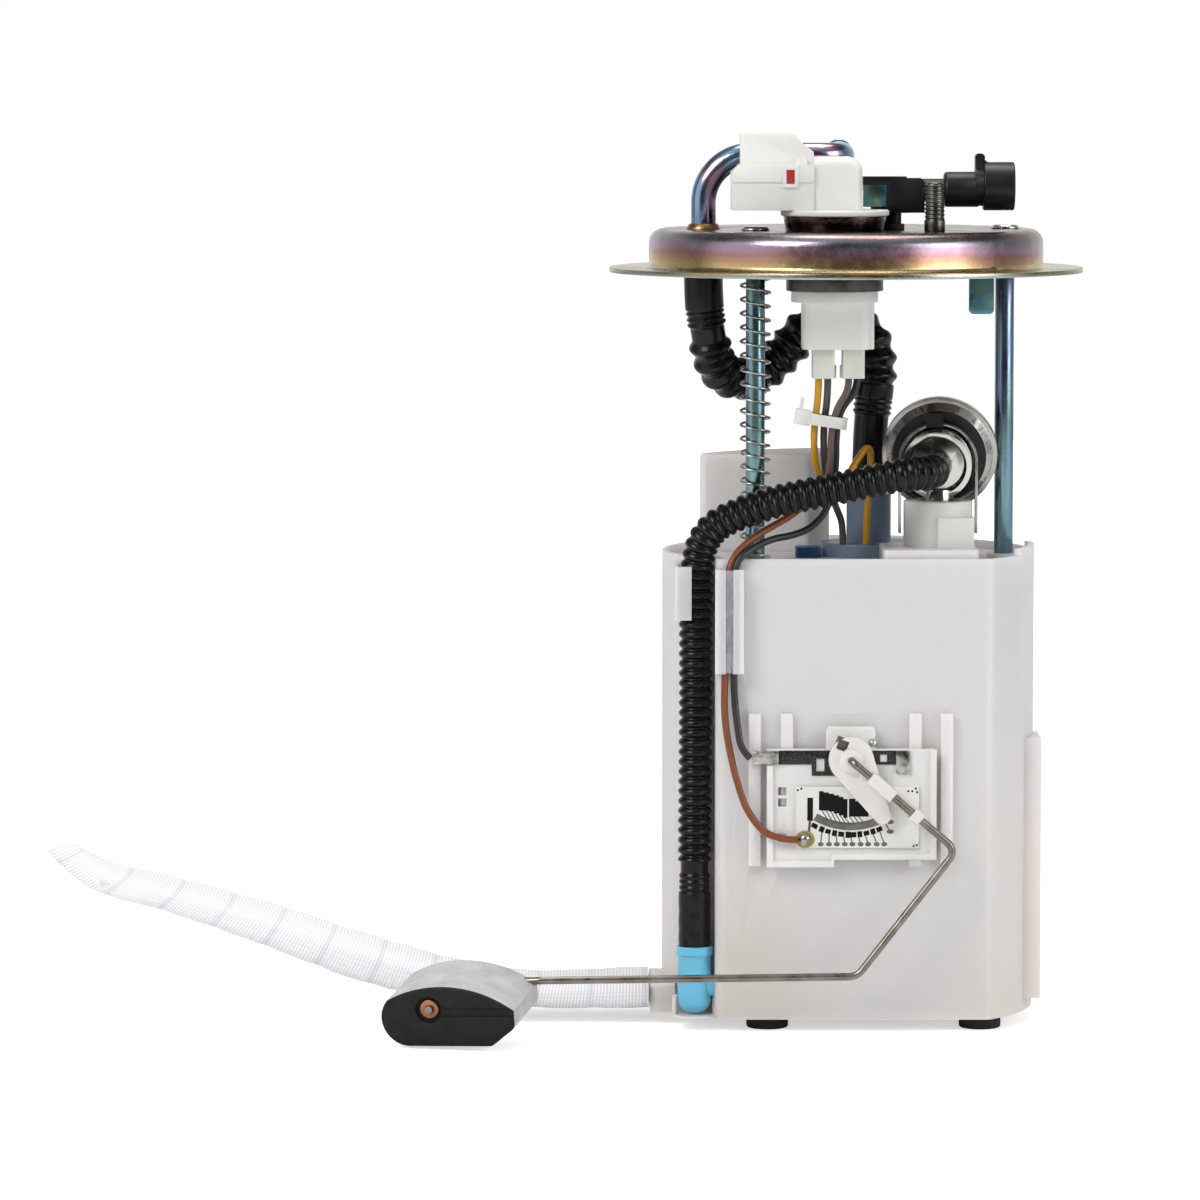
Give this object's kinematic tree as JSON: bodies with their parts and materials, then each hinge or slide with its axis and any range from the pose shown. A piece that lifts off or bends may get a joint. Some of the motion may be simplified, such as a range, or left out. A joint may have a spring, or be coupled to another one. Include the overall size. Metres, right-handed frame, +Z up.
{
  "type": "in-tank fuel pump module",
  "caption": "In-tank fuel pump module: sealing flange with connector and outlet, sprung reservoir, pump, strainer, float sender",
  "frame": {"origin": "centre of the flange rim's underside, the face that seats on the tank", "axes": "+Z up, along the flange axis and the guide rods; -Y is the flat side of the reservoir that carries the level sender; +X to the right seen from that side"},
  "size_m": [0.3336, 0.1602, 0.285],
  "materials": {
    "zinc_yellow": "satin",
    "zinc_blue": "gloss",
    "zinc_dark": "satin",
    "steel_bright": "satin",
    "tinned_brass": "satin",
    "copper": "satin",
    "plastic_white": "satin",
    "plastic_natural": "satin",
    "plastic_black": "satin",
    "plastic_red": "gloss",
    "plastic_blue": "satin",
    "plastic_blue_grey": "satin",
    "plastic_light_blue": "satin",
    "rubber_black": "matte",
    "float_rubber": "matte",
    "hose_black": "gloss",
    "wire_yellow": "satin",
    "wire_brown": "satin",
    "ceramic": "matte",
    "mesh_white": "matte",
    "paper": "matte"
  },
  "bodies": {
    "flange": {"flange_plate": "zinc_yellow", "connector_collar": "zinc_dark", "connector_seat": "plastic_white", "connector_housing": "plastic_white", "connector_lock": "plastic_red", "connector_terminals": "tinned_brass", "lower_retaining_ring": "zinc_dark", "lower_connector": "plastic_white", "harness_plugs": "plastic_white", "outlet_pipe": "zinc_yellow", "pipe_braze_ring": "tinned_brass", "ground_stud": "zinc_yellow", "pressure_sensor": "plastic_black", "sensor_bracket": "zinc_blue", "sensor_seal": "rubber_black", "rod_left": "zinc_blue", "rod_right": "zinc_blue", "rod_clips": "steel_bright", "rod_spring": "steel_bright", "hanging_tab": "zinc_yellow", "cable_tie": "plastic_white", "feed_hose": "hose_black", "pump_wires": "wire_yellow", "sender_wires": "wire_brown"},
    "reservoir_unit": {"reservoir": "plastic_natural", "reservoir_cover": "plastic_natural", "filter_housing": "plastic_natural", "filter_element": "paper", "pump_cap": "plastic_blue_grey", "cap_clip": "plastic_blue", "fuel_pump": "steel_bright", "pump_isolator": "rubber_black", "regulator_can": "steel_bright", "regulator_cup": "plastic_white", "regulator_o_ring": "rubber_black", "regulator_clip": "steel_bright", "return_hose": "hose_black", "jet_elbow": "plastic_light_blue", "jet_nozzle": "plastic_white", "rubber_feet": "rubber_black", "check_valve": "rubber_black", "strainer_sock": "mesh_white", "strainer_neck": "plastic_white", "strainer_skeleton": "plastic_white", "sender_frame": "plastic_white", "resistor_card": "ceramic", "contact_strip": "tinned_brass", "sender_terminals": "tinned_brass"},
    "sender_arm": {"wiper_arm": "plastic_white", "wiper_contacts": "tinned_brass", "float_wire": "steel_bright", "float": "float_rubber", "float_push_nut": "copper"}
  },
  "joints": [
    {"name": "reservoir_slide", "type": "slide", "parent": "flange", "child": "reservoir_unit", "axis": [0, 0, 1], "range_m": [0, 0.025], "stiffness_N_per_m": 240, "springref_m": -0.065, "deforming": ["rod_spring", "feed_hose", "pump_wires", "sender_wires"]},
    {"name": "float_hinge", "type": "hinge", "parent": "reservoir_unit", "child": "sender_arm", "pos_m": [0.0003, -0.05, -0.1523], "axis": [0, 1, 0], "range_deg": [0, 57]}
  ]
}
